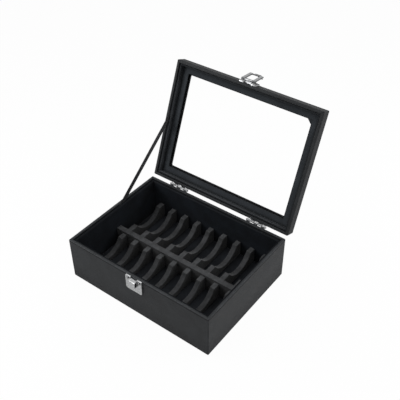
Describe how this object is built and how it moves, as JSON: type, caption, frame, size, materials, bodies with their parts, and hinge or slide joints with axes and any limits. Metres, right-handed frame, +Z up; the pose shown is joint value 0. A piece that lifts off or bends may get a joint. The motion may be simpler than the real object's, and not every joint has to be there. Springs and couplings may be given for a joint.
{
  "type": "bangle box",
  "caption": "Leather-covered jewellery case with a hinged glass-topped lid, a latch and scooped dividers that hold bangles upright in two rows.",
  "frame": {"origin": "centre of the underside of the felt that the box rests on", "axes": "+Z up, +Y towards the hinges at the back, +X to the right as seen from the latch at the front"},
  "size_m": [0.2, 0.243, 0.2049],
  "materials": {
    "black_leather": "satin",
    "fibreboard": "raw",
    "black_velvet": "matte",
    "grey_flocked_foam": "matte",
    "black_felt": "matte",
    "black_ribbon": "satin",
    "clear_glass": "polished",
    "chrome": "polished"
  },
  "bodies": {
    "base": {"bottom_felt": "black_felt", "base_bottom_board": "fibreboard", "base_front_board": "fibreboard", "base_back_board": "fibreboard", "base_left_board": "fibreboard", "base_right_board": "fibreboard", "base_leather_wrap": "black_leather", "base_lining_front_board": "black_velvet", "base_lining_back_board": "black_velvet", "base_lining_left_board": "black_velvet", "base_lining_right_board": "black_velvet", "floor_pad": "black_velvet", "center_rail": "grey_flocked_foam", "front_divider_1": "grey_flocked_foam", "front_divider_2": "grey_flocked_foam", "front_divider_3": "grey_flocked_foam", "front_divider_4": "grey_flocked_foam", "front_divider_5": "grey_flocked_foam", "front_divider_6": "grey_flocked_foam", "front_divider_7": "grey_flocked_foam", "front_divider_8": "grey_flocked_foam", "front_divider_9": "grey_flocked_foam", "rear_divider_1": "grey_flocked_foam", "rear_divider_2": "grey_flocked_foam", "rear_divider_3": "grey_flocked_foam", "rear_divider_4": "grey_flocked_foam", "rear_divider_5": "grey_flocked_foam", "rear_divider_6": "grey_flocked_foam", "rear_divider_7": "grey_flocked_foam", "rear_divider_8": "grey_flocked_foam", "rear_divider_9": "grey_flocked_foam", "catch_plate": "chrome", "catch_screw_left": "chrome", "catch_screw_right": "chrome", "left_hinge_base_leaf": "chrome", "right_hinge_base_leaf": "chrome", "left_hinge_pin": "chrome", "right_hinge_pin": "chrome", "stay_ribbon": "black_ribbon"},
    "lid": {"lid_front_board": "fibreboard", "lid_back_board": "fibreboard", "lid_left_board": "fibreboard", "lid_right_board": "fibreboard", "lid_top_frame": "fibreboard", "lid_leather_wrap": "black_leather", "lid_lining_front_board": "black_velvet", "lid_lining_back_board": "black_velvet", "lid_lining_left_board": "black_velvet", "lid_lining_right_board": "black_velvet", "glass_spacer": "fibreboard", "window_mat": "black_velvet", "glass_pane": "clear_glass", "left_hinge_lid_leaf": "chrome", "right_hinge_lid_leaf": "chrome", "hasp_plate": "chrome", "hasp_screw_left": "chrome", "hasp_screw_right": "chrome", "hasp_pin": "chrome"},
    "latch_ring": {"latch_ring": "chrome"}
  },
  "joints": [
    {"name": "lid_hinge", "type": "hinge", "parent": "base", "child": "lid", "pos_m": [0, 0.0773, 0.0585], "axis": [1, 0, 0], "range_deg": [0, 111.4], "deforming": ["stay_ribbon"]},
    {"name": "latch_ring_pivot", "type": "hinge", "parent": "lid", "child": "latch_ring", "pos_m": [0, 0.13729, 0.20335], "axis": [1, 0, 0], "range_deg": [0, 165]}
  ]
}
